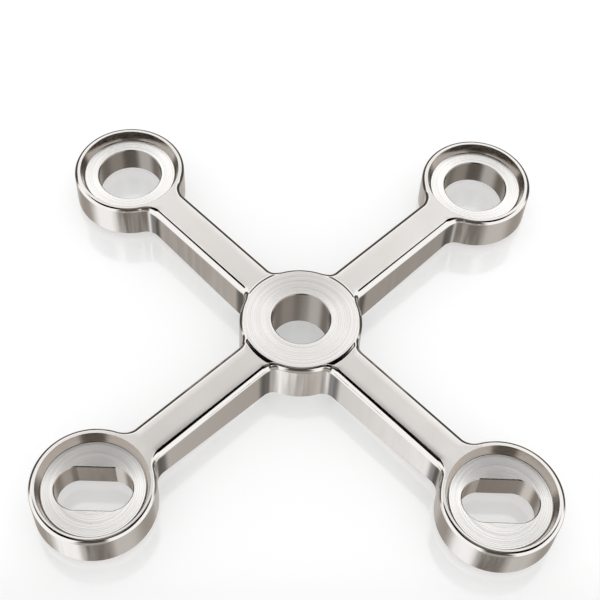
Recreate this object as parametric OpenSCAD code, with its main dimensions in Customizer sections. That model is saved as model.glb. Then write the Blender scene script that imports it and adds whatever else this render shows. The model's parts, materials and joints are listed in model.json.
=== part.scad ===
// Four-arm glass spider: a turned hub and four bored end rings on an X of straight arms,
// cast in one piece in stainless steel and machined on its working faces.
// Origin on the hub's axis at its seat, +Z out through the glass side, X along the slots.

/* [Pattern] */
// Distance between neighbouring ring centres, the same along X and Y
hole_pitch = 160; // [130:1:260]

/* [Hub] */
// Diameter of the hub
hub_d = 52.5; // [44:0.5:64]
// Height of the hub, from its seat to the turned face
hub_h = 21; // [18:0.5:28]
// Rounding round the edge of the turned face
hub_edge_r = 2; // [1:0.1:3]
// Diameter of the bore for the fixing bolt
bore_d = 25; // [12:0.5:30]
// How far the turned face stands above the arms
face_step = 1; // [0.6:0.1:1.8]
// Radius of the small fillet where the arms run up to the turned face
step_fillet_r = 1; // [0.5:0.1:2]

/* [Rings] */
// Outer diameter of each end ring
ring_d = 50; // [46:0.5:60]
// Depth of each end ring
ring_h = 16.2; // [12:0.1:17]
// Diameter at the mouth of the washer recess
recess_mouth_d = 44.6; // [43:0.1:46]
// Diameter of the recess floor
recess_floor_d = 41.6; // [38:0.1:43]
// Depth of the washer recess
recess_depth = 3.5; // [1.5:0.1:5]
// Radius in the corner of the recess floor
recess_corner_r = 0.6; // [0.2:0.1:1]
// Diameter of the round holes in the two rear rings
hole_d = 28.5; // [16:0.5:34]

/* [Slots] */
// Length of the slots in the two front rings
slot_l = 31; // [24:0.5:34]
// Distance between the two flats of a slot
slot_w = 18.4; // [12:0.2:22]
// How much the radius of a slot's ends exceeds half its width, which leaves corners at the flats
slot_end_bulge = 0.12; // [0.02:0.02:0.6]

/* [Arms] */
// Width of each arm
arm_w = 16.5; // [12:0.5:20]
// Radius of the fillets between an arm and its ring, in plan
ring_fillet_r = 7; // [4:0.5:10]
// Radius of the fillets between an arm and the hub, in plan
hub_fillet_r = 6; // [4:0.5:8]

/* [Edges] */
// Rounding along the upper edges of the arms and rings
edge_r = 1.8; // [1:0.1:2]
// Edge break at the mouths of the bore, holes and slots
hole_break = 0.4; // [0.2:0.1:0.6]
// Edge break round the underside of the hub and rings
base_break = 0.4; // [0.2:0.1:0.8]

/* [Hidden] */
$fn = 96;
arm_reach = hole_pitch / sqrt(2);        // hub axis to ring axis
arm_top = hub_h - face_step;             // level of the arm tops and ring rims
ring_base = arm_top - ring_h;            // level of the rings' undersides
recess_floor = arm_top - recess_depth;
arm_angles = [45, 135, 225, 315];
rear_arms = [45, 135];
front_arms = [225, 315];

// A fillet's circle runs this little way into the two faces it blends, so that they truly cross
blend_lap = 0.01;

// Centre of the fillet between an arm along +X and a round boss at the origin
function fillet_centre(boss_r, fillet_r) =
    let (y = arm_w / 2 + fillet_r - blend_lap)
    [sqrt(pow(boss_r + fillet_r - blend_lap, 2) - y * y), y];

hub_reach = fillet_centre(hub_d / 2, hub_fillet_r)[0];
ring_reach = fillet_centre(ring_d / 2, ring_fillet_r)[0];
underside_slope = atan(ring_base / (arm_reach - ring_reach - hub_reach));

// Section of half a round boss: rounded above, with its lower edge broken
module boss_profile(r, low, high, top_r) {
    intersection() {
        union() {
            translate([0, low]) square([r, high - top_r - low]);
            translate([0, low]) square([r - top_r, high - low]);
            translate([r - top_r, high - top_r]) circle(top_r);
        }
        polygon([[0, low], [r - base_break, low], [r, low + base_break], [r, high + 1], [0, high + 1]]);
    }
}

// Turned hub with its raised face
module hub() {
    rotate_extrude() boss_profile(hub_d / 2, 0, hub_h, hub_edge_r);
}

// Solid end ring, before its recess and hole are cut
module ring_blank() {
    rotate_extrude() boss_profile(ring_d / 2, ring_base, arm_top, edge_r);
}

// Bar of one arm along +X: level on top, its underside rising from the hub's seat to the ring's
module arm_bar() {
    intersection() {
        rotate([90, 0, 90]) linear_extrude(arm_reach) upper_section();
        translate([hub_reach, 0, 0]) rotate([0, -underside_slope, 0]) translate([-arm_reach, 0, 0])
            rotate([90, 0, 90]) linear_extrude(2 * arm_reach) lower_section();
    }
}

// Cross-section of an arm with its rounded upper corners
module upper_section() {
    translate([-arm_w / 2, 0]) square([arm_w, arm_top - edge_r]);
    translate([edge_r - arm_w / 2, 0]) square([arm_w - 2 * edge_r, arm_top]);
    for (side = [-1, 1])
        translate([side * (arm_w / 2 - edge_r), arm_top - edge_r]) circle(edge_r);
}

// Cross-section that trims the underside of an arm and breaks its lower edges
module lower_section() {
    half_w = arm_w / 2;
    polygon([
        [base_break - half_w, 0], [half_w - base_break, 0], [half_w, base_break],
        [half_w, 2 * hub_h], [-half_w, 2 * hub_h], [-half_w, base_break]
    ]);
}

// Tool that cuts one concave fillet and carries the upper rounding and lower edge break round it
module fillet_cutter(r, low) {
    rotate_extrude() difference() {
        translate([0, low - 1]) square([r + edge_r, hub_h + 2 - low]);
        polygon([
            [r + base_break + 1, low - 1], [r + edge_r + 1, low - 1],
            [r + edge_r + 1, arm_top - edge_r], [r, arm_top - edge_r], [r, low + base_break]
        ]);
        translate([r + edge_r, arm_top - edge_r]) circle(edge_r);
    }
}

// Web between an arm along +X and the round boss at the origin, on the arm's left side.
// A child stands on top of the web and is trimmed to it.
module fillet_web(boss_r, fillet_r, low) {
    centre = fillet_centre(boss_r, fillet_r);
    difference() {
        union() {
            translate([0, 0, low]) web_prism(centre, arm_top - low);
            if ($children > 0) intersection() {
                children();
                web_prism(centre, 2 * hub_h);
            }
        }
        translate(centre) fillet_cutter(fillet_r, low);
    }
}

// Three-sided prism from a boss's axis to the centre of a fillet
module web_prism(centre, h) {
    linear_extrude(h) polygon([[0, 0], [centre[0], 0], centre]);
}

// One arm with its ring and the four fillet webs at its two ends
module arm() {
    arm_bar();
    translate([arm_reach, 0, 0]) ring_blank();
    for (side = [0, 1]) mirror([0, side, 0]) {
        fillet_web(hub_d / 2, hub_fillet_r, 0) step_fillet();
        translate([arm_reach, 0, 0]) mirror([1, 0, 0])
            fillet_web(ring_d / 2, ring_fillet_r, ring_base);
    }
}

// Small fillet that runs from the arm tops up to the edge of the turned face
module step_fillet() {
    centre_r = hub_d / 2 - hub_edge_r;
    rise = step_fillet_r + hub_edge_r - face_step;
    spread = hub_edge_r + step_fillet_r - blend_lap;
    foot_r = centre_r + sqrt(spread * spread - rise * rise);
    contact = (hub_edge_r - blend_lap / 2) / spread;    // midway in the lap of the two circles
    contact_r = centre_r + (foot_r - centre_r) * contact;
    contact_z = hub_h - hub_edge_r + rise * contact;
    rotate_extrude() difference() {
        polygon([
            [centre_r - 1, arm_top - 1], [foot_r, arm_top - 1], [foot_r, arm_top],
            [contact_r, contact_z], [centre_r - 1, contact_z]
        ]);
        translate([foot_r, arm_top + step_fillet_r]) circle(step_fillet_r);
    }
}

// Shallow washer recess with a tapered wall and a rounded floor corner
module recess() {
    taper = (recess_mouth_d - recess_floor_d) / 2 / recess_depth;
    slant = sqrt(1 + taper * taper);
    corner_x = recess_floor_d / 2 + recess_corner_r * (taper - slant);
    corner_z = recess_floor + recess_corner_r;
    mouth_r = recess_mouth_d / 2 + taper;
    rotate_extrude() {
        polygon([
            [0, recess_floor], [corner_x, recess_floor],
            [corner_x + recess_corner_r / slant, corner_z - recess_corner_r * taper / slant],
            [mouth_r, arm_top + 1], [0, arm_top + 1]
        ]);
        translate([corner_x, corner_z]) circle(recess_corner_r);
    }
}

// Half section of an opening that runs from one level to another, with both mouths broken
module opening_profile(half_w, low, high) {
    flare = half_w + hole_break + 1;
    polygon([
        [0, low - 1], [flare, low - 1], [half_w, low + hole_break],
        [half_w, high - hole_break], [flare, high + 1], [0, high + 1]
    ]);
}

// Round hole
module round_hole(d, low, high) {
    rotate_extrude() opening_profile(d / 2, low, high);
}

// Flat-sided groove along X, of the same section as a hole
module flat_hole(length, width, low, high) {
    rotate([90, 0, 90]) linear_extrude(length, center = true)
        for (side = [0, 1]) mirror([side, 0]) opening_profile(width / 2, low, high);
}

// Slot through a front ring: round ends cut off by two flats
module slot() {
    end_r = slot_w / 2 + slot_end_bulge;
    end_x = slot_l / 2 - end_r;
    intersection() {
        union() {
            flat_hole(2 * end_x, 2 * end_r, ring_base, recess_floor);
            for (side = [-1, 1]) translate([side * end_x, 0, 0])
                round_hole(2 * end_r, ring_base, recess_floor);
        }
        flat_hole(2 * slot_l, slot_w, ring_base, recess_floor);
    }
}

// The whole fitting
module spider() {
    color([0.72, 0.70, 0.68]) difference() {
        union() {
            hub();
            for (a = arm_angles) rotate([0, 0, a]) arm();
        }
        round_hole(bore_d, 0, hub_h);
        for (a = arm_angles) rotate([0, 0, a]) translate([arm_reach, 0, 0]) recess();
        for (a = rear_arms) rotate([0, 0, a]) translate([arm_reach, 0, 0])
            round_hole(hole_d, ring_base, recess_floor);
        for (a = front_arms) rotate([0, 0, a]) translate([arm_reach, 0, 0]) rotate([0, 0, -a]) slot();
    }
}

spider();
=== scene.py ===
# A four-arm glass spider: one stainless casting, its steel finishes, and a small white studio.
import json
import math
import bpy
import numpy as np
from mathutils import Matrix, Vector
from mathutils.geometry import tessellate_polygon


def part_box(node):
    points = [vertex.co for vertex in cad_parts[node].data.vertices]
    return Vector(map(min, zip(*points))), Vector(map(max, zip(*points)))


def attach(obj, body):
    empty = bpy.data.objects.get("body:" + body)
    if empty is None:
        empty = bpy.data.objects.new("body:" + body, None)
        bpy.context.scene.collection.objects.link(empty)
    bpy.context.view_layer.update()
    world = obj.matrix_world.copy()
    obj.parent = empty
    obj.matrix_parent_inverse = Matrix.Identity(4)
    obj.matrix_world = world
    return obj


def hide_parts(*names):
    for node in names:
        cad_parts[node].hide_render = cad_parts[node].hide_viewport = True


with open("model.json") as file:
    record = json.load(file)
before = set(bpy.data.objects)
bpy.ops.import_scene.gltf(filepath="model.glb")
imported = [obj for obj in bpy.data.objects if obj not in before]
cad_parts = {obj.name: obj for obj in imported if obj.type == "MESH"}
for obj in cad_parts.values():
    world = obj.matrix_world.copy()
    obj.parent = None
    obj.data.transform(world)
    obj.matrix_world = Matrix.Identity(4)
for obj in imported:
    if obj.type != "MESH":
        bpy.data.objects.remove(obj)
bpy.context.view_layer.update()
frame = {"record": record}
print("frame loaded")

mounts = {m["name"]: m for m in frame["record"]["mounts"]}
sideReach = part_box("spider")[1][0]      # how far the rings reach along X


def levelOf(name):
    # height of a mount's face in millimetres
    return 1000 * mounts[name]["pos_m"][2]


# The casting in millimetres. What the frame states is read from it, the rest is here to change.
casting = {
    "pitch": 2000 * mounts["rear_right_hole"]["pos_m"][0],
    "faceZ": levelOf("hub_face"),
    "floorZ": levelOf("rear_left_seat"),
    "boreR": mounts["hub_bore"]["dims"]["r_mm"],
    "holeR": mounts["rear_left_hole"]["dims"]["r_mm"],
    "slotHalfW": mounts["front_slots"]["dims"]["hole_r_mm"],
    "slotL": mounts["front_slots"]["dims"]["slot_length_mm"],
    "slotBulge": 0.12,
    "hubR": 26.25,
    "hubEdge": 2.0,        # rounding round the turned face
    "faceStep": 0.5,       # turned face above the arms
    "stepRound": 3.2,      # that step is an S-curve: the radius of its shoulder
    "stepFillet": 2.6,     # and of the hollow at its foot
    "armHalfW": 8.25,
    "armEdge": 2.8,        # rounding along the arms
    "armCrown": 2.6,       # width over which an arm's top rolls towards its edges
    "crownTilt": 5.0,      # slope of that roll where the rounding starts, in degrees
    "crownIn": 0.55,       # share of the hub's fillet where that roll starts
    "crownOut": 0.5,       # and of the ring's fillet where it has ended
    "ringR": 1000 * (sideReach - mounts["rear_right_hole"]["pos_m"][0]),
    "ringEdge": 1.75,
    "ringDepth": 16.7,
    "mouthR": 22.3,
    "recessR": 20.8,
    "recessCorner": 0.6,
    "hubFillet": 6.0,
    "ringFillet": 7.0,
    "breakW": 0.4,         # edge breaks at openings and round the underside
    "mouthBreak": 0.12,    # fine break at the mouth of the washer recess
}


# How many points each stretch of the surface gets
grain = {
    "hub": 14, "fillet": 25, "bar": 30, "ring": 90,      # along the outline, one side of an arm
    "roll": 8, "edge": 19, "foot": 5,                    # down the section of the edge
    "step": 23, "stepArc": 40, "face": 6, "mouth": 40,   # on top
    "corner": 7, "slotEnd": 33,
}


def armLayout(c):
    # Lengths that follow from the sizes: where fillets touch, and the levels of the arms and rings
    c["reach"] = c["pitch"] / math.sqrt(2)
    c["armTop"] = c["faceZ"] - c["faceStep"]
    c["ringBase"] = c["armTop"] - c["ringDepth"]
    c["hubSide"] = c["armHalfW"] + c["hubFillet"]
    c["ringSide"] = c["armHalfW"] + c["ringFillet"]
    c["hubFoot"] = math.sqrt((c["hubR"] + c["hubFillet"]) ** 2 - c["hubSide"] ** 2)
    c["ringFoot"] = c["reach"] - math.sqrt((c["ringR"] + c["ringFillet"]) ** 2 - c["ringSide"] ** 2)
    c["hubTurn"] = math.atan2(c["hubSide"], c["hubFoot"])
    c["ringTurn"] = math.atan2(c["ringSide"], c["reach"] - c["ringFoot"])
    # the step beside the turned face: a convex arc of stepRound, then a concave one of stepFillet
    c["discR"] = c["hubR"] - c["hubEdge"]
    total = c["stepRound"] + c["stepFillet"]
    rise = total - c["faceStep"]
    c["stepW"] = math.sqrt(total ** 2 - rise ** 2)
    c["stepTurn"] = c["stepW"] * c["stepRound"] / total


armLayout(casting)


def stepHeight(c, r):
    # Height of the top at distance r from the hub's axis: the turned face, a round shoulder, then
    # a concave arc that runs out into the level of the arms
    u = np.clip(r - c["discR"], 0, c["stepW"])
    v = np.clip(c["stepW"] - u, 0, c["stepFillet"])
    shoulder = c["faceZ"] - c["stepRound"] + np.sqrt(c["stepRound"] ** 2 - u ** 2)
    hollow = c["armTop"] + c["stepFillet"] - np.sqrt(c["stepFillet"] ** 2 - v ** 2)
    return np.where(u < c["stepTurn"], shoulder, hollow)


def stepSlope(c, r):
    # Fall of the same curve per millimetre outwards, kept just short of upright
    u = np.clip(r - c["discR"], 0, c["stepW"])
    v = np.clip(c["stepW"] - u, 0, 0.999 * c["stepFillet"])
    shoulder = u / np.sqrt(c["stepRound"] ** 2 - u ** 2)
    return np.where(u < c["stepTurn"], shoulder, v / np.sqrt(c["stepFillet"] ** 2 - v ** 2))


def ease(x):
    # slow at both ends: 3 x squared less 2 x cubed, from 0 to 1
    x = np.clip(x, 0, 1)
    return x * x * (3 - 2 * x)


def armOutline(c, grain):
    # Plan outline of one arm along +X, from the gap on its right round the ring to the gap on its
    # left. Every stretch is an arc or a line: a point is centre + radius * (cos, sin), the normal
    # points out of the metal, and "bend" is 1 / radius, negative in the fillets. "mix" fades the
    # rounding from the boss's own to the arm's, "crown" fades in the roll of the arm's top.
    def arc(centre, radius, start, end, count, hollow, mix, crown):
        a = np.linspace(start, end, count)
        t = np.linspace(0, 1, count)
        ray = np.stack([np.cos(a), np.sin(a)], 1)
        flip = -1.0 if hollow else 1.0
        return dict(p=np.array(centre) + radius * ray, n=flip * ray, bend=np.full(count, flip / radius),
                    mix=mix(t), crown=crown(t))

    quarter = math.pi / 4
    hubFilletStart, ringFilletEnd = math.pi - c["hubTurn"], c["ringTurn"]
    pieces = [
        arc((0, 0), c["hubR"], -quarter, -c["hubTurn"], grain["hub"], False, np.zeros_like, np.zeros_like),
        arc((c["hubFoot"], -c["hubSide"]), c["hubFillet"], hubFilletStart, math.pi / 2, grain["fillet"],
            True, ease, lambda t: ease((t - c["crownIn"]) / (1 - c["crownIn"]))),
    ]
    x = np.linspace(c["hubFoot"], c["ringFoot"], grain["bar"])
    level = np.ones_like(x)
    pieces.append(dict(p=np.stack([x, -c["armHalfW"] * level], 1), n=np.stack([0 * level, -level], 1),
                       bend=0 * level, mix=level, crown=level))
    pieces += [
        arc((c["ringFoot"], -c["ringSide"]), c["ringFillet"], math.pi / 2, ringFilletEnd, grain["fillet"],
            True, lambda t: 1 - ease(t), lambda t: 1 - ease(t / c["crownOut"])),
        arc((c["reach"], 0), c["ringR"], ringFilletEnd - math.pi, 0, grain["ring"], False,
            np.zeros_like, np.zeros_like),
    ]
    right = {k: np.concatenate([q[k] if i == 0 else q[k][1:] for i, q in enumerate(pieces)])
             for k in ("p", "n", "bend", "mix", "crown")}
    marks = np.cumsum([len(q["p"]) - 1 for q in pieces])     # last station of each stretch
    flipY = np.array([1.0, -1.0])
    outline = {k: np.concatenate([right[k], (right[k] * flipY if right[k].ndim == 2 else right[k])[-2::-1]])
               for k in right}
    outline["hub"] = np.abs(np.hypot(outline["p"][:, 0], outline["p"][:, 1]) - c["hubR"]) < 1e-6
    step = np.linalg.norm(np.diff(outline["p"], axis=0), axis=1)
    outline["s"] = np.concatenate([[0], np.cumsum(step)])
    outline["marks"] = marks
    return outline


def edgeProfile(c, grain, o):
    # Section of the skin at each station, from the flat top outwards and down. The top rolls over
    # a shallow parabola, an arc turns it into the wall, and a small round ends it at the underside.
    # Columns: inset from the outline, height, and tilt of the surface from level.
    nearHub = o["p"][:, 0] < c["reach"] / 2
    endEdge = np.where(nearHub, c["hubEdge"], c["ringEdge"])
    edge = endEdge + (c["armEdge"] - endEdge) * o["mix"]
    tilt0 = np.radians(c["crownTilt"] * o["crown"])
    roll = c["armCrown"] * o["crown"]
    startIn = edge * (1 - np.sin(tilt0))
    width = startIn + roll
    inner = o["p"] - o["n"] * width[:, None]
    top = np.where(o["hub"], c["faceZ"], stepHeight(c, np.hypot(inner[:, 0], inner[:, 1])))
    base = np.clip((o["p"][:, 0] - c["hubFoot"]) / (c["ringFoot"] - c["hubFoot"]), 0, 1) * c["ringBase"]

    t = np.linspace(0, 1, grain["roll"] + 1)[:-1]
    rollIn = width[:, None] - roll[:, None] * t
    rollZ = top[:, None] - (np.tan(tilt0) * roll / 2)[:, None] * t ** 2
    rollTilt = np.arctan(np.tan(tilt0)[:, None] * t)
    turn = np.linspace(0, 1, grain["edge"])
    a = tilt0[:, None] + (math.pi / 2 - tilt0)[:, None] * turn
    centreZ = top - np.tan(tilt0) * roll / 2 - edge * np.cos(tilt0)
    arcIn = edge[:, None] * (1 - np.sin(a))
    arcZ = centreZ[:, None] + edge[:, None] * np.cos(a)
    lowTilt = np.linspace(math.pi / 2, math.pi, grain["foot"])
    b = c["breakW"]
    footIn = np.tile(b * (1 - np.sin(lowTilt)), (len(edge), 1))
    footZ = base[:, None] + b + b * np.cos(lowTilt)
    middle = (centreZ + base + b) / 2
    inset = np.concatenate([rollIn, arcIn, np.zeros((len(edge), 1)), footIn], 1)
    height = np.concatenate([rollZ, arcZ, middle[:, None], footZ], 1)
    tilt = np.concatenate([rollTilt, a, np.full((len(edge), 1), math.pi / 2),
                           np.tile(lowTilt, (len(edge), 1))], 1)
    return inset, height, tilt


class Skin:
    # Collects grids and flat fills, welds their seams and makes one mesh with exact normals
    weldSize, weldShift = 0.0002, 0.37

    def __init__(self):
        self.points, self.normals, self.faces, self.finish, self.count = [], [], [], [], 0

    def place(self, points, normals, angle):
        cos, sin = math.cos(angle), math.sin(angle)
        turn = np.array([[cos, -sin, 0], [sin, cos, 0], [0, 0, 1]])
        self.points.append(points.reshape(-1, 3) @ turn.T)
        n = normals.reshape(-1, 3) @ turn.T
        self.normals.append(n / np.linalg.norm(n, axis=1, keepdims=True))
        start = self.count
        self.count += len(self.points[-1])
        return start

    def grid(self, points, normals, finish, angle):
        # points[i, j]: i runs along the path and j across it, with the outside on the left of i x j
        rows, cols = points.shape[:2]
        start = self.place(points, normals, angle)
        k = start + np.arange(rows * cols).reshape(rows, cols)
        quads = np.stack([k[:-1, :-1], k[:-1, 1:], k[1:, 1:], k[1:, :-1]], -1).reshape(-1, 4)
        self.faces.append(quads)
        fill = np.broadcast_to(np.asarray(finish), (rows - 1, cols - 1)) if np.ndim(finish) else \
            np.full((rows - 1, cols - 1), finish)
        self.finish.append(fill.reshape(-1))

    def flat(self, loops, up, finish, angle):
        # a level or sloping plane inside the first loop and outside the others
        ring = [[Vector((float(q[0]), float(q[1]), 0.0)) for q in loop] for loop in loops]
        tris = np.array(tessellate_polygon(ring))
        points = np.concatenate(loops)
        normals = np.tile(np.asarray(up, float), (len(points), 1))
        a, b, d = (points[tris[:, i], :2] for i in range(3))
        area = (b[:, 0] - a[:, 0]) * (d[:, 1] - a[:, 1]) - (b[:, 1] - a[:, 1]) * (d[:, 0] - a[:, 0])
        wrong = area * up[2] < 0
        tris[wrong] = tris[wrong][:, ::-1]
        start = self.place(points, normals, angle)
        self.faces.append(np.concatenate([tris, tris[:, :1]], 1) + start)
        self.finish.append(np.full(len(tris), finish))

    def build(self, name, materials):
        points, normals = np.concatenate(self.points), np.concatenate(self.normals)
        quads, finish = np.concatenate(self.faces), np.concatenate(self.finish)
        # points in the same cell of a very fine grid are one; the grid is set off from round sizes
        cell = np.floor(points / self.weldSize + self.weldShift).astype(np.int64)
        _, first, weld = np.unique(cell, axis=0, return_index=True, return_inverse=True)
        weld = weld.reshape(-1)
        corners = weld[quads]
        # a corner is dropped where it repeats the one before, and so are faces left with under three
        keep = corners != np.roll(corners, 1, axis=1)
        good = (keep.sum(1) >= 3) & (corners[:, 0] != corners[:, 2]) & (corners[:, 1] != corners[:, 3])
        corners, quads, keep, finish = corners[good], quads[good], keep[good], finish[good]
        total = keep.sum(1)
        mesh = bpy.data.meshes.new(name)
        mesh.vertices.add(len(first))
        mesh.vertices.foreach_set("co", (points[first] * 0.001).astype(np.float32).ravel())
        mesh.loops.add(int(total.sum()))
        mesh.loops.foreach_set("vertex_index", corners[keep].astype(np.int32))
        mesh.polygons.add(len(total))
        starts = np.cumsum(total) - total
        mesh.polygons.foreach_set("loop_start", starts.astype(np.int32))
        for material in materials:
            mesh.materials.append(material)
        mesh.polygons.foreach_set("material_index", finish.astype(np.int32))
        mesh.update(calc_edges=True)
        mesh.validate()
        mesh.normals_split_custom_set(normals[quads[keep]].tolist())
        obj = bpy.data.objects.new(name, mesh)
        bpy.context.scene.collection.objects.link(obj)
        return obj


def lift(plan, z):
    # plan points and their heights as points in space
    z = np.broadcast_to(z, plan.shape[:-1])
    return np.concatenate([plan, z[..., None]], -1)


# places in the list of finishes below
satin, turned, polished, wall, bored, seat, milled = range(7)


def addSkin(skin, c, grain, o, angle):
    # The outer skin: the edge profile carried along the outline. Its normal is the profile's own,
    # leaned along the path by how fast inset and height change there.
    inset, height, tilt = edgeProfile(c, grain, o)
    n, s = o["n"], o["s"]
    points = lift(o["p"][:, None, :] - n[:, None, :] * inset[..., None], height)
    along = np.stack([-n[:, 1], n[:, 0]], 1)
    insetS, heightS = np.gradient(inset, s, axis=0), np.gradient(height, s, axis=0)
    shrink = 1 - inset * o["bend"][:, None]
    lean = insetS * np.sin(tilt) - heightS * np.cos(tilt)
    normals = np.concatenate([
        (shrink * np.sin(tilt))[..., None] * n[:, None, :] + lean[..., None] * along[:, None, :],
        (shrink * np.cos(tilt))[..., None]], -1)
    finish = np.full((points.shape[0] - 1, points.shape[1] - 1), polished)
    finish[:, :grain["roll"]] = satin
    finish[:, grain["roll"] + grain["edge"] - 1:] = wall
    skin.grid(points, normals, finish, angle)
    return points


def addTop(skin, c, grain, o, points, angle):
    # Everything between the skin's inner line and the openings: the step round the turned face,
    # the arm's flat top and the rim of the washer recess
    hubEnd, filletEnd, lineEnd, ringStart = o["marks"][:4]
    last = len(points) - 1
    inner = points[:, 0, :]
    az = np.arctan2(inner[:, 1], inner[:, 0])
    r = np.hypot(inner[:, 0], inner[:, 1])
    foot = c["discR"] + c["stepW"]
    onStep = np.arange(hubEnd, filletEnd)[r[hubEnd:filletEnd] < foot]
    cross = onStep[-1]
    # the step's outer line follows the skin as far as the foot circle, and then that circle
    arcAz = np.linspace(az[cross], -az[cross], grain["stepArc"] + 2)[1:-1]
    lowAz, lowR = az[onStep], r[onStep]
    allAz = np.concatenate([lowAz, arcAz, -lowAz[::-1]])
    allR = np.concatenate([lowR, np.full(len(arcAz), foot), lowR[::-1]])
    t = np.linspace(0, 1, grain["step"])
    rad = c["discR"] + (allR - c["discR"])[:, None] * t
    ray = np.stack([np.cos(allAz), np.sin(allAz)], 1)
    stepPoints = lift(ray[:, None, :] * rad[..., None], stepHeight(c, rad))
    slope = stepSlope(c, rad)
    stepNormals = np.concatenate([ray[:, None, :] * slope[..., None], np.ones_like(slope)[..., None]], -1)
    stepPoints[:len(lowAz), -1] = inner[onStep]
    stepPoints[-len(lowAz):, -1] = inner[last - onStep[::-1]]
    skin.grid(stepPoints, stepNormals, polished, angle)

    # turned face: rings of points from the bore's mouth out to the step
    faceAz = np.concatenate([az[:hubEnd], allAz, az[last - hubEnd + 1:]])
    faceRay = np.stack([np.cos(faceAz), np.sin(faceAz)], 1)
    faceR = np.linspace(c["boreR"] + c["breakW"], c["discR"], grain["face"])
    edgeR = np.concatenate([r[:hubEnd], np.full(len(allAz), c["discR"]), r[last - hubEnd + 1:]])
    grid = faceRay[:, None, :] * np.tile(faceR, (len(faceAz), 1))[..., None]
    grid[:, -1] = faceRay * edgeR[:, None]
    up = np.zeros(grid.shape[:2] + (3,))
    up[..., 2] = 1
    skin.grid(lift(grid, c["faceZ"]), up, turned, angle)

    # bore: broken mouth, wall and broken foot
    b = c["breakW"]
    boreR = c["boreR"]
    rows = [(boreR + b, c["faceZ"]), (boreR, c["faceZ"] - b), (boreR, b), (boreR + b, 0)]
    addTube(skin, faceRay, np.zeros(2), rows, bored, angle)

    # arm top: foot arc, skin's inner line out to the ring, and the recess mouth that faces the hub
    centre = np.array([c["reach"], 0.0])
    mouthR = c["mouthR"] + c["mouthBreak"]
    start = np.arctan2(inner[ringStart, 1], inner[ringStart, 0] - c["reach"])
    faceHub = np.linspace(start, -2 * math.pi - start, grain["mouth"])
    mouth = lift(centre + mouthR * np.stack([np.cos(faceHub), np.sin(faceHub)], 1), c["armTop"])
    footArc = lift(foot * np.stack([np.cos(arcAz), np.sin(arcAz)], 1), c["armTop"])
    hubPart = np.concatenate([inner[cross:filletEnd + 1], inner[last - filletEnd:last - cross + 1],
                              footArc[::-1]])
    skin.flat([hubPart], (0, 0, 1), satin, angle)
    bar = np.stack([inner[filletEnd:lineEnd + 1], inner[last - lineEnd:last - filletEnd + 1][::-1]], 1)
    up = np.zeros(bar.shape)
    up[..., 2] = 1
    skin.grid(bar[::-1], up, satin, angle)
    ringPart = np.concatenate([inner[lineEnd:ringStart + 1], mouth,
                               inner[last - ringStart:last - lineEnd + 1]])
    skin.flat([ringPart], (0, 0, 1), satin, angle)

    # rim of the ring: a narrow flat from the skin's inner line to the recess mouth
    outer = inner[ringStart:last - ringStart + 1, :2]
    ringAz = np.arctan2(outer[:, 1], outer[:, 0] - c["reach"])
    ringRay = np.stack([np.cos(ringAz), np.sin(ringAz)], 1)
    rim = np.stack([centre + mouthR * ringRay, outer], 1)
    up = np.zeros(rim.shape[:2] + (3,))
    up[..., 2] = 1
    skin.grid(lift(rim, c["armTop"]), up, polished, angle)
    mouthAz = np.concatenate([ringAz, faceHub[::-1][1:-1] + 2 * math.pi, ringAz[:1] + 2 * math.pi])
    return np.stack([np.cos(mouthAz), np.sin(mouthAz)], 1), faceRay


def addTube(skin, ray, centre, rows, finish, angle):
    # A wall turned about an upright axis that faces inwards: rows of (radius, height) from the top,
    # with the crease between two rows kept sharp
    for (r0, z0), (r1, z1) in zip(rows[:-1], rows[1:]):
        r, z = np.array([r0, r1]), np.array([z0, z1])
        points = lift(centre + ray[:, None, :] * r[None, :, None], np.tile(z, (len(ray), 1)))
        slope = np.array([z1 - z0, r0 - r1])
        n = np.concatenate([ray * slope[0], np.full((len(ray), 1), slope[1])], 1)
        skin.grid(points[::-1], np.repeat(n[::-1][:, None, :], 2, axis=1), finish, angle)


def addRecess(skin, c, grain, ray, angle):
    # Washer recess: fine break at the mouth, tapered wall, rounded corner, floor
    centre = np.array([c["reach"], 0.0])
    taper = (c["mouthR"] - c["recessR"]) / (c["armTop"] - c["floorZ"])
    slant = math.sqrt(1 + taper * taper)
    rc = c["recessCorner"]
    cx, cz = c["recessR"] + rc * (taper - slant), c["floorZ"] + rc
    m = c["mouthBreak"]
    wallTop = (c["mouthR"] - taper * m, c["armTop"] - m)
    wallFoot = (cx + rc / slant, cz - rc * taper / slant)
    addTube(skin, ray, centre, [(c["mouthR"] + m, c["armTop"]), wallTop, wallFoot], seat, angle)
    a = np.linspace(math.atan2(-taper, 1), -math.pi / 2, grain["corner"])
    r, z = cx + rc * np.cos(a), cz + rc * np.sin(a)
    points = lift(centre + ray[:, None, :] * r[None, :, None], np.tile(z, (len(ray), 1)))
    n = np.concatenate([-ray[:, None, :] * np.cos(a)[None, :, None],
                        np.tile(-np.sin(a), (len(ray), 1))[..., None]], -1)
    skin.grid(points[::-1], n[::-1], seat, angle)
    return lift(centre + ray[:-1] * cx, c["floorZ"])


def slotLoop(c, grain, grow, turn):
    # Outline of a slot grown by a little: two arcs cut off by two flats, turned in plan
    endR, halfW = c["slotHalfW"] + c["slotBulge"] + grow, c["slotHalfW"] + grow
    endX = c["slotL"] / 2 - c["slotHalfW"] - c["slotBulge"]
    corner = math.asin(halfW / endR)
    a = np.linspace(-corner, corner, grain["slotEnd"])
    right = np.stack([endX + endR * np.cos(a), endR * np.sin(a)], 1)
    loop = np.concatenate([right, -right])
    rot = np.array([[math.cos(turn), -math.sin(turn)], [math.sin(turn), math.cos(turn)]])
    return loop @ rot.T


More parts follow.
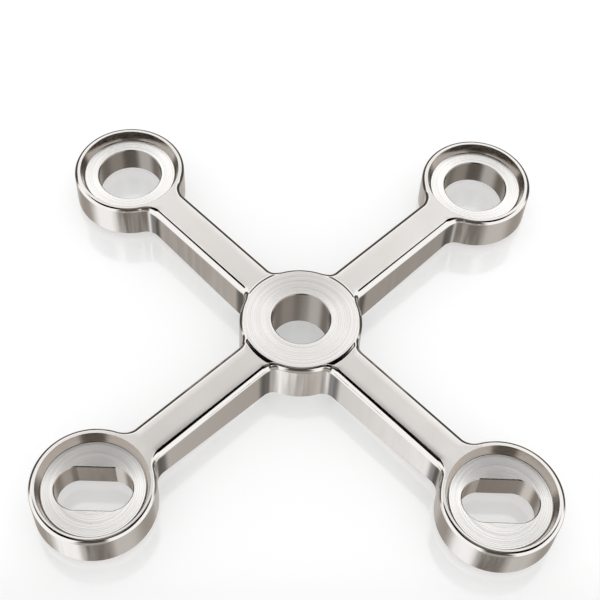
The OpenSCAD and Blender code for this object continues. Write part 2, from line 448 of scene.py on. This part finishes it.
def addSlot(skin, c, grain, floorLoop, angle):
    # Slot through a ring: broken mouth, wall and broken foot, as two arcs and two flats
    centre = np.array([c["reach"], 0.0])
    b = c["breakW"]
    rows = [(b, c["floorZ"]), (0, c["floorZ"] - b), (0, c["ringBase"] + b), (b, c["ringBase"])]
    loops = [lift(centre + slotLoop(c, grain, grow, -angle), z) for grow, z in rows]
    end = grain["slotEnd"]
    parts = slice(0, end), slice(end - 1, end + 1), slice(end, 2 * end), slice(2 * end - 1, 2 * end + 1)
    for upper, lower in zip(loops[:-1], loops[1:]):
        ends = np.concatenate([upper, upper[:1]]), np.concatenate([lower, lower[:1]])
        for part in parts:
            pts = np.stack([ends[0][part], ends[1][part]], 1)
            along = np.gradient(pts, axis=0)
            down = pts[:, 1:] - pts[:, :1]
            normals = np.cross(along, np.repeat(down, 2, axis=1))
            skin.grid(pts[::-1], normals[::-1], milled, angle)
    skin.flat([floorLoop, loops[0]], (0, 0, 1), turned, angle)
    return loops[-1]


def addHole(skin, c, ray, floorLoop, angle):
    # Round hole through a ring
    centre = np.array([c["reach"], 0.0])
    b = c["breakW"]
    rows = [(c["holeR"] + b, c["floorZ"]), (c["holeR"], c["floorZ"] - b),
            (c["holeR"], c["ringBase"] + b), (c["holeR"] + b, c["ringBase"])]
    addTube(skin, ray, centre, rows, bored, angle)
    mouth = lift(centre + ray * (c["holeR"] + b), c["floorZ"])
    floor = np.stack([mouth, np.concatenate([floorLoop, floorLoop[:1]])], 1)
    up = np.zeros(floor.shape)
    up[..., 2] = 1
    skin.grid(floor, up, turned, angle)
    return lift(centre + ray[:-1] * (c["holeR"] + b), c["ringBase"])


def addUnderside(skin, c, o, points, openingLoop, faceRay, angle):
    # Flat seat under the hub, the arm's sloping underside and the ring's flat base
    low = points[:, -1, :]
    filletEnd, lineEnd = o["marks"][1:3]
    last = len(points) - 1
    skin.flat([low[lineEnd:last - lineEnd + 1], openingLoop], (0, 0, -1), wall, angle)
    right, left = low[filletEnd:lineEnd + 1], low[last - lineEnd:last - filletEnd + 1][::-1]
    run = c["ringFoot"] - c["hubFoot"]
    under = np.stack([right, left], 1)
    normals = np.tile([c["ringBase"] / run, 0, -1.0], under.shape[:2] + (1,))
    skin.grid(under, normals, wall, angle)
    bore = faceRay * (c["boreR"] + c["breakW"])
    start = np.concatenate([low[:filletEnd + 1], low[last - filletEnd:]])
    skin.flat([np.concatenate([start, lift(bore[::-1], 0.0)])], (0, 0, -1), wall, angle)


def addArm(skin, c, grain, angle, slotted):
    # One quarter of the casting: a quarter of the hub, an arm and its ring
    o = armOutline(c, grain)
    points = addSkin(skin, c, grain, o, angle)
    ray, faceRay = addTop(skin, c, grain, o, points, angle)
    floorLoop = addRecess(skin, c, grain, ray, angle)
    if slotted:
        opening = addSlot(skin, c, grain, floorLoop, angle)
    else:
        opening = addHole(skin, c, ray, floorLoop, angle)
    addUnderside(skin, c, o, points, opening, faceRay, angle)


class Graph:
    # Short ways to add and join the nodes of one material or world
    def __init__(self, tree):
        self.nodes, self.links = tree.nodes, tree.links

    def feed(self, socket, value):
        # a socket is either joined to another one or set to a value
        if isinstance(value, bpy.types.NodeSocket):
            self.links.new(value, socket)
        else:
            socket.default_value = value

    def calc(self, operation, *values):
        node = self.nodes.new("ShaderNodeMath")
        node.operation = operation
        for socket, value in zip(node.inputs, values):
            self.feed(socket, value)
        return node.outputs[0]

    def blend(self, share, a, b):
        # a where share is 0, b where it is 1
        return self.calc("ADD", self.calc("MULTIPLY", self.calc("SUBTRACT", 1.0, share), a),
                         self.calc("MULTIPLY", share, b))

    def fade(self, value, low, high, fromLevel=0.0, toLevel=1.0):
        # a smooth change from one level to the other as the value goes from low to high
        node = self.nodes.new("ShaderNodeMapRange")
        node.interpolation_type = "SMOOTHSTEP"
        for name, level in (("Value", value), ("From Min", low), ("From Max", high),
                            ("To Min", fromLevel), ("To Max", toLevel)):
            self.feed(node.inputs[name], level)
        return node.outputs["Result"]

    def split(self, vector):
        node = self.nodes.new("ShaderNodeSeparateXYZ")
        self.feed(node.inputs[0], vector)
        return node.outputs

    def join(self, x, y, z):
        node = self.nodes.new("ShaderNodeCombineXYZ")
        for socket, value in zip(node.inputs, (x, y, z)):
            self.feed(socket, value)
        return node.outputs[0]

    def noise(self, vector, scale, detail):
        node = self.nodes.new("ShaderNodeTexNoise")
        self.feed(node.inputs["Vector"], vector)
        node.inputs["Scale"].default_value = scale
        node.inputs["Detail"].default_value = detail
        return node.outputs["Fac"]

    def lineNoise(self, value, scale, detail):
        # noise along one line, for marks that all run the same way
        node = self.nodes.new("ShaderNodeTexNoise")
        node.noise_dimensions = "1D"
        self.feed(node.inputs["W"], value)
        node.inputs["Scale"].default_value = scale
        node.inputs["Detail"].default_value = detail
        return node.outputs["Fac"]

    def shade(self, color, level):
        # the colour made darker by a level from 0 to 1
        node = self.nodes.new("ShaderNodeVectorMath")
        node.operation = "SCALE"
        node.inputs[0].default_value = color
        self.feed(node.inputs["Scale"], level)
        return node.outputs[0]

    def length(self, x, y):
        return self.calc("SQRT", self.calc("ADD", self.calc("MULTIPLY", x, x), self.calc("MULTIPLY", y, y)))

    def objectCoords(self):
        return self.nodes.new("ShaderNodeTexCoord").outputs["Object"]

    def bump(self, height):
        # height in metres
        node = self.nodes.new("ShaderNodeBump")
        node.inputs["Strength"].default_value = 1
        node.inputs["Distance"].default_value = 1
        self.feed(node.inputs["Height"], height)
        return node.outputs["Normal"]


# Steel finishes: roughness of each, and how strongly it varies with its own marks. Scales count per
# metre, and noise between the two levels of noiseSpan is used.
steel = {
    "color": (0.80, 0.775, 0.75), "noiseSpan": (0.3, 0.7),
    "satinRough": 0.22, "satinVary": 0.05, "satinScale": 60.0,
    "turnedColor": (0.98, 0.96, 0.94), "turnedRough": 0.20, "turnedVary": 0.07, "turnedStretch": 0.92,
    "grooveScale": 2600.0, "grooveDepth": 0.0000034, "dish": 0.055,
    "streakScale": 2600.0, "streakTurn": 0.4, "streakDark": 0.88,    # deeper marks, fading round the rings
    "streakSpan": (0.35, 0.6),
    "edgeRough": 0.09, "edgeSpan": (0.8, 1.3), "edgeScale": 90.0,
    "wallColor": (0.80, 0.775, 0.75), "wallRough": 0.15, "wallVary": 0.08, "wallStretch": 0.06,
    "wallScale": 420.0,
    "cornerDark": 0.22, "cornerStart": (0.6, 2.4), "cornerEnd": (4.0, 8.5),   # painted shade in the inside corners beside each boss
    # the bore, slot and recess walls get darker base colours than the outer walls: painted shade inside the
    # openings
    "boreColor": (0.35, 0.325, 0.30), "boreRough": 0.20, "boreVary": 0.02, "boreStretch": 5.0,
    "slotColor": (0.50, 0.46, 0.42), "slotRough": 0.20, "slotVary": 0.02, "slotStretch": 0.3,
    "recessColor": (0.43, 0.39, 0.35), "recessRough": 0.17, "recessVary": 0.05, "recessStretch": 5.0,
}


def steelBase(name, color, roughness):
    material = bpy.data.materials.new(name)
    material.use_nodes = True
    shader = material.node_tree.nodes["Principled BSDF"]
    shader.inputs["Base Color"].default_value = color + (1,)
    shader.inputs["Metallic"].default_value = 1
    shader.inputs["Roughness"].default_value = roughness
    return material, shader, Graph(material.node_tree)


def satinSteel():
    # soft satin of the arm tops: a faint cloudy change in roughness
    rough, vary = steel["satinRough"], steel["satinVary"]
    material, shader, g = steelBase("satinTop", steel["color"], rough)
    cloud = g.noise(g.objectCoords(), steel["satinScale"], 4.0)
    g.feed(shader.inputs["Roughness"], g.fade(cloud, *steel["noiseSpan"], rough - vary, rough + vary))
    return material


def centred(g, c):
    # place and distance from the axis of the hub or of the nearest ring, and 1 where it is a ring
    x, y, _ = g.split(g.objectCoords())
    half = c["pitch"] / 2000
    outside = g.calc("GREATER_THAN", g.calc("ABSOLUTE", x), half / 2)
    shift = g.calc("MULTIPLY", outside, half)
    dx = g.calc("SUBTRACT", x, g.calc("MULTIPLY", g.calc("SIGN", x), shift))
    dy = g.calc("SUBTRACT", y, g.calc("MULTIPLY", g.calc("SIGN", y), shift))
    return dx, dy, g.length(dx, dy), outside


def turnedSteel(c):
    # faces cut on a lathe: fine rings, with a highlight drawn out across them, and very slightly dished
    rough, vary = steel["turnedRough"], steel["turnedVary"]
    material, shader, g = steelBase("turnedFace", steel["turnedColor"], rough)
    dx, dy, radius, _ = centred(g, c)
    grooves = g.lineNoise(radius, steel["grooveScale"], 3.0)
    g.feed(shader.inputs["Roughness"], g.fade(grooves, *steel["noiseSpan"], rough - vary, rough + vary))
    shader.inputs["Anisotropic"].default_value = steel["turnedStretch"]
    g.feed(shader.inputs["Tangent"], g.join(dx, dy, 0.0))
    turn = g.calc("DIVIDE", steel["streakTurn"], radius)
    along = g.join(g.calc("MULTIPLY", radius, steel["streakScale"]),
                   g.calc("MULTIPLY", dx, turn), g.calc("MULTIPLY", dy, turn))
    streaks = g.fade(g.noise(along, 1.0, 4.0), *steel["streakSpan"], steel["streakDark"])
    g.feed(shader.inputs["Base Color"], g.shade(steel["turnedColor"], streaks))
    height = g.calc("ADD", g.calc("MULTIPLY", grooves, steel["grooveDepth"]),
                    g.calc("MULTIPLY", radius, steel["dish"]))
    g.feed(shader.inputs["Normal"], g.bump(height))
    return material


def edgeSteel():
    # bright rounded edges, with a trace of the polishing left in them
    rough = steel["edgeRough"]
    material, shader, g = steelBase("polishedEdge", steel["color"], rough)
    cloud = g.noise(g.objectCoords(), steel["edgeScale"], 3.0)
    low, high = steel["edgeSpan"]
    g.feed(shader.inputs["Roughness"], g.fade(cloud, *steel["noiseSpan"], low * rough, high * rough))
    return material


def wallSteel(name, key):
    # walls: marks drawn out along z where the stretch is small, and round the wall where it is large
    rough, vary = steel[key + "Rough"], steel[key + "Vary"]
    material, shader, g = steelBase(name, steel[key + "Color"], rough)
    x, y, z = g.split(g.objectCoords())
    marks = g.noise(g.join(x, y, g.calc("MULTIPLY", z, steel[key + "Stretch"])), steel["wallScale"], 3.0)
    g.feed(shader.inputs["Roughness"], g.fade(marks, *steel["noiseSpan"], rough - vary, rough + vary))
    return material


def outerWallSteelWithPaintedShade(c):
    # outer walls: polished, with painted shade darkening the base colour in the inside corners beside each
    # boss where a wheel doesn't reach
    material = wallSteel("castWall", "wall")
    g = Graph(material.node_tree)
    _, _, radius, outside = centred(g, c)
    boss = g.blend(outside, c["hubR"] / 1000, c["ringR"] / 1000)
    beside = g.calc("MULTIPLY", g.calc("SUBTRACT", radius, boss), 1000.0)
    corner = g.calc("MULTIPLY", g.fade(beside, *steel["cornerStart"]),
                    g.fade(beside, *steel["cornerEnd"], 1.0, 0.0))
    up = g.split(g.nodes.new("ShaderNodeNewGeometry").outputs["Normal"])[2]
    upright = g.fade(g.calc("ABSOLUTE", up), 0.6, 0.2)     # none of it on the underside
    share = g.calc("MULTIPLY", corner, upright)
    # painted shade: the wall colour darkened where the corner mask is
    g.feed(g.nodes["Principled BSDF"].inputs["Base Color"],
           g.shade(steel["wallColor"], g.fade(share, 0.0, 1.0, 1.0, steel["cornerDark"])))
    return material


finishes = [
    satinSteel(),
    turnedSteel(casting),
    edgeSteel(),
    outerWallSteelWithPaintedShade(casting),
    # darker copies of the wall steel: painted shade inside the bore, slots and recesses
    wallSteel("boredWall", "bore"),
    wallSteel("recessWall", "recess"),
    wallSteel("slotWall", "slot"),
]

skin = Skin()
for angle, slotted in ((45, False), (135, False), (225, True), (315, True)):
    addArm(skin, casting, grain, math.radians(angle), slotted)
spider = skin.build("spiderCasting", finishes)
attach(spider, "root")
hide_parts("spider")
print("casting made:", len(spider.data.vertices), "vertices,", len(spider.data.polygons), "faces")


studio = {
    "floorSize": 3.0, "floorColor": (0.97, 0.97, 0.97), "floorGloss": 0.12, "floorIor": 2.6,
    "floorGlow": 0.40, "floorLight": 1.15,
    # What the steel mirrors. Places are directions from the middle of the tent, pairs are where a
    # change starts and ends, and levels are strengths, with 1 white.
    "tent": 1.16,                                    # white cloth all round
    "hood": (0.0, 0.50), "hoodR": (0.04, 0.26), "hoodLevel": 0.80,   # greyer cloth that level faces mirror
    "opening": (0.0, -0.06), "openingR": (0.62, 0.43),               # dark opening overhead
    "openingEdge": (0.96, 1.04), "openingSquare": 4.0,
    "lampR": (0.14, 0.27), "lampLevel": 0.27,        # soft lamp straight overhead
    "backHeight": 0.5, "backRise": (0.3, 0.8),       # the dark strip behind: its height grows backwards
    "sideHeight": 0.45, "sideRise": (0.38, 0.56),    # and towards the sides
    "backDark": 0.92, "backY": (0.20, 0.36), "backFoot": (-0.50, -0.30),
    "gapLow": 0.45, "gapHigh": 0.09, "gapClimb": (0.15, 0.35),       # the gap in front, low and high up
    "gapTurn": (0.90, 0.97), "gapFoot": (-0.75, -0.55), "gapTop": (0.2, 0.4),
    "under": 0.36, "underLeft": 1.08, "underRight": 0.60,            # below the table, and its sides
    "sideTurn": (-0.2, 0.4), "sideSwap": (-0.2, 0.2),
    "underFront": 0.20, "frontTurn": (0.78, 0.97),
    "frontRing": (0.47, 0.52), "frontRingEnd": (0.61, 0.56),         # a lighter ring within its front
    "underBack": 0.55, "backTurn": (-0.55, -0.9),
    "rimZ": (-0.62, -0.50), "rimY": (0.2, 0.5),      # white cloth reaches down to here, but not behind
    "tableZ": (-0.02, 0.02), "stripSoft": (0.05, -0.05),
    "tint": (1.0, 1.0, 1.0, 1), "underTint": (1.0, 0.91, 0.82, 1), "tintSpan": (0.2, 1.0),
}


def makeFloor(s):
    # Glossy white table. The camera sees it lit and partly glowing; the steel mirrors the cloth
    # below the table instead, as the tent closes under it.
    size = s["floorSize"]
    mesh = bpy.data.meshes.new("studioFloor")
    corners = [(-size, -size, 0), (size, -size, 0), (size, size, 0), (-size, size, 0)]
    mesh.from_pydata(corners, [], [(0, 1, 2, 3)])
    obj = bpy.data.objects.new("studioFloor", mesh)
    bpy.context.scene.collection.objects.link(obj)
    material = bpy.data.materials.new("whiteTable")
    material.use_nodes = True
    g = Graph(material.node_tree)
    shader = g.nodes["Principled BSDF"]
    shader.inputs["Base Color"].default_value = s["floorColor"] + (1,)
    shader.inputs["Roughness"].default_value = s["floorGloss"]
    shader.inputs["IOR"].default_value = s["floorIor"]
    glow = g.nodes.new("ShaderNodeEmission")
    clear = g.nodes.new("ShaderNodeBsdfTransparent")
    path = g.nodes.new("ShaderNodeLightPath")
    lit = g.nodes.new("ShaderNodeMixShader")
    g.feed(lit.inputs[0], g.calc("MULTIPLY", path.outputs["Is Camera Ray"], s["floorGlow"]))
    g.feed(lit.inputs[1], shader.outputs[0])
    g.feed(lit.inputs[2], glow.outputs[0])
    seen = g.nodes.new("ShaderNodeMixShader")
    g.feed(seen.inputs[0], path.outputs["Is Glossy Ray"])
    g.feed(seen.inputs[1], lit.outputs[0])
    g.feed(seen.inputs[2], clear.outputs[0])
    g.feed(g.nodes["Material Output"].inputs["Surface"], seen.outputs[0])
    mesh.materials.append(material)


makeFloor(studio)


def makeWorld(s):
    # A white tent: greyer cloth high at the back, a dark opening overhead, a dark strip low at the
    # back, and below the table a brown-grey cloth with a lighter patch on each side. Only mirrored
    # rays see all that: the camera sees it plain white, and so does the light on the table.
    world = bpy.data.worlds.new("tent")
    bpy.context.scene.world = world
    world.use_nodes = True
    g = Graph(world.node_tree)
    x, y, z = g.split(g.nodes.new("ShaderNodeTexCoord").outputs["Generated"])

    def away(centre, radii, power):
        # 1 on an oval seen from straight above, less inside it; a higher power squares the oval
        dx = g.calc("ABSOLUTE", g.calc("DIVIDE", g.calc("SUBTRACT", x, centre[0]), radii[0]))
        dy = g.calc("ABSOLUTE", g.calc("DIVIDE", g.calc("SUBTRACT", y, centre[1]), radii[1]))
        total = g.calc("ADD", g.calc("POWER", dx, power), g.calc("POWER", dy, power))
        return g.calc("POWER", total, 1.0 / power)

    cloth = g.fade(away(s["hood"], (1.0, 1.0), 2.0), *s["hoodR"], s["hoodLevel"], s["tent"])
    opening = g.fade(away(s["opening"], s["openingR"], s["openingSquare"]), *s["openingEdge"])
    cloth = g.calc("MULTIPLY", cloth, opening)
    # and a soft lamp straight overhead, inside the opening
    lamp = g.fade(g.length(x, y), *s["lampR"], s["lampLevel"], 0.0)
    cloth = g.calc("MAXIMUM", cloth, lamp)
    # low at the back it is dark up to a height that grows backwards and towards the sides
    limit = g.calc("MULTIPLY", g.fade(y, *s["backRise"]), s["backHeight"])
    limit = g.calc("ADD", limit, g.fade(g.calc("ABSOLUTE", x), *s["sideRise"], 0.0, s["sideHeight"]))
    strip = g.calc("MULTIPLY", g.fade(g.calc("SUBTRACT", z, limit), *s["stripSoft"]), g.fade(y, *s["backY"]))
    strip = g.calc("MULTIPLY", strip, g.fade(z, *s["backFoot"], 0.0, s["backDark"]))

    # below the table "turn" is the cosine of the angle from straight in front
    flat = g.calc("MAXIMUM", g.length(x, y), 0.001)
    turn = g.calc("DIVIDE", g.calc("MULTIPLY", y, -1.0), flat)
    light = g.calc("MULTIPLY", g.fade(flat, *s["frontRing"]), g.fade(flat, *s["frontRingEnd"]))
    front = g.calc("MULTIPLY", g.fade(turn, *s["frontTurn"]), g.calc("SUBTRACT", 1.0, light))
    back = g.fade(turn, *s["backTurn"])
    sideLevel = g.fade(x, *s["sideSwap"], s["underLeft"], s["underRight"])
    under = g.blend(g.fade(turn, *s["sideTurn"]), s["under"], sideLevel)
    under = g.blend(back, g.blend(front, under, s["underFront"]), s["underBack"])
    # from level down to here the cloth is still white at the sides
    rim = g.calc("MULTIPLY", g.fade(z, *s["rimZ"]), g.calc("SUBTRACT", 1.0, g.fade(y, *s["rimY"])))
    lower = g.blend(rim, under, s["tent"])
    level = g.blend(g.fade(z, *s["tableZ"]), lower, cloth)
    level = g.calc("MULTIPLY", level, g.calc("SUBTRACT", 1.0, strip))
    # a dark gap straight in front, where the tent opens for the camera
    gap = g.calc("MULTIPLY", g.fade(turn, *s["gapTurn"]), g.fade(z, *s["gapFoot"]))
    gap = g.calc("MULTIPLY", gap, g.fade(flat, *s["gapTop"]))
    level = g.blend(gap, level, g.fade(z, *s["gapClimb"], s["gapLow"], s["gapHigh"]))
    path = g.nodes.new("ShaderNodeLightPath")
    background = g.nodes["Background"]
    plain = g.calc("MAXIMUM", path.outputs["Is Camera Ray"], path.outputs["Is Diffuse Ray"])
    g.feed(background.inputs["Strength"], g.blend(plain, level, s["floorLight"]))
    color = g.nodes.new("ShaderNodeMix")
    color.data_type = "RGBA"
    g.feed(color.inputs["Factor"], g.calc("MAXIMUM", plain, g.fade(level, *s["tintSpan"])))
    g.feed(color.inputs[6], s["underTint"])
    g.feed(color.inputs[7], s["tint"])
    g.feed(background.inputs["Color"], color.outputs[2])


makeWorld(studio)

# Where the camera looks and from how far, in metres and degrees
shot = {"target": (0.0, 0.0237, 0.0003), "distance": 0.571, "elevation": 55.5, "azimuth": 2.5,
        "roll": -4.0, "lens": 76.3}


def makeCamera(s):
    el, az, roll = (math.radians(s[k]) for k in ("elevation", "azimuth", "roll"))
    forward = Vector((math.sin(az) * math.cos(el), math.cos(az) * math.cos(el), -math.sin(el)))
    right = Vector((math.cos(az), -math.sin(az), 0))
    down = forward.cross(right)
    cos, sin = math.cos(roll), math.sin(roll)
    right, down = cos * right + sin * down, cos * down - sin * right
    data = bpy.data.cameras.new("camera")
    data.lens = s["lens"]
    data.sensor_width = 36
    obj = bpy.data.objects.new("camera", data)
    bpy.context.scene.collection.objects.link(obj)
    place = Vector(s["target"]) - s["distance"] * forward
    rows = [[right[i], -down[i], -forward[i], place[i]] for i in range(3)]
    obj.matrix_world = Matrix(rows + [[0, 0, 0, 1]])
    bpy.context.scene.camera = obj


makeCamera(shot)
bpy.context.scene.view_settings.view_transform = "Standard"
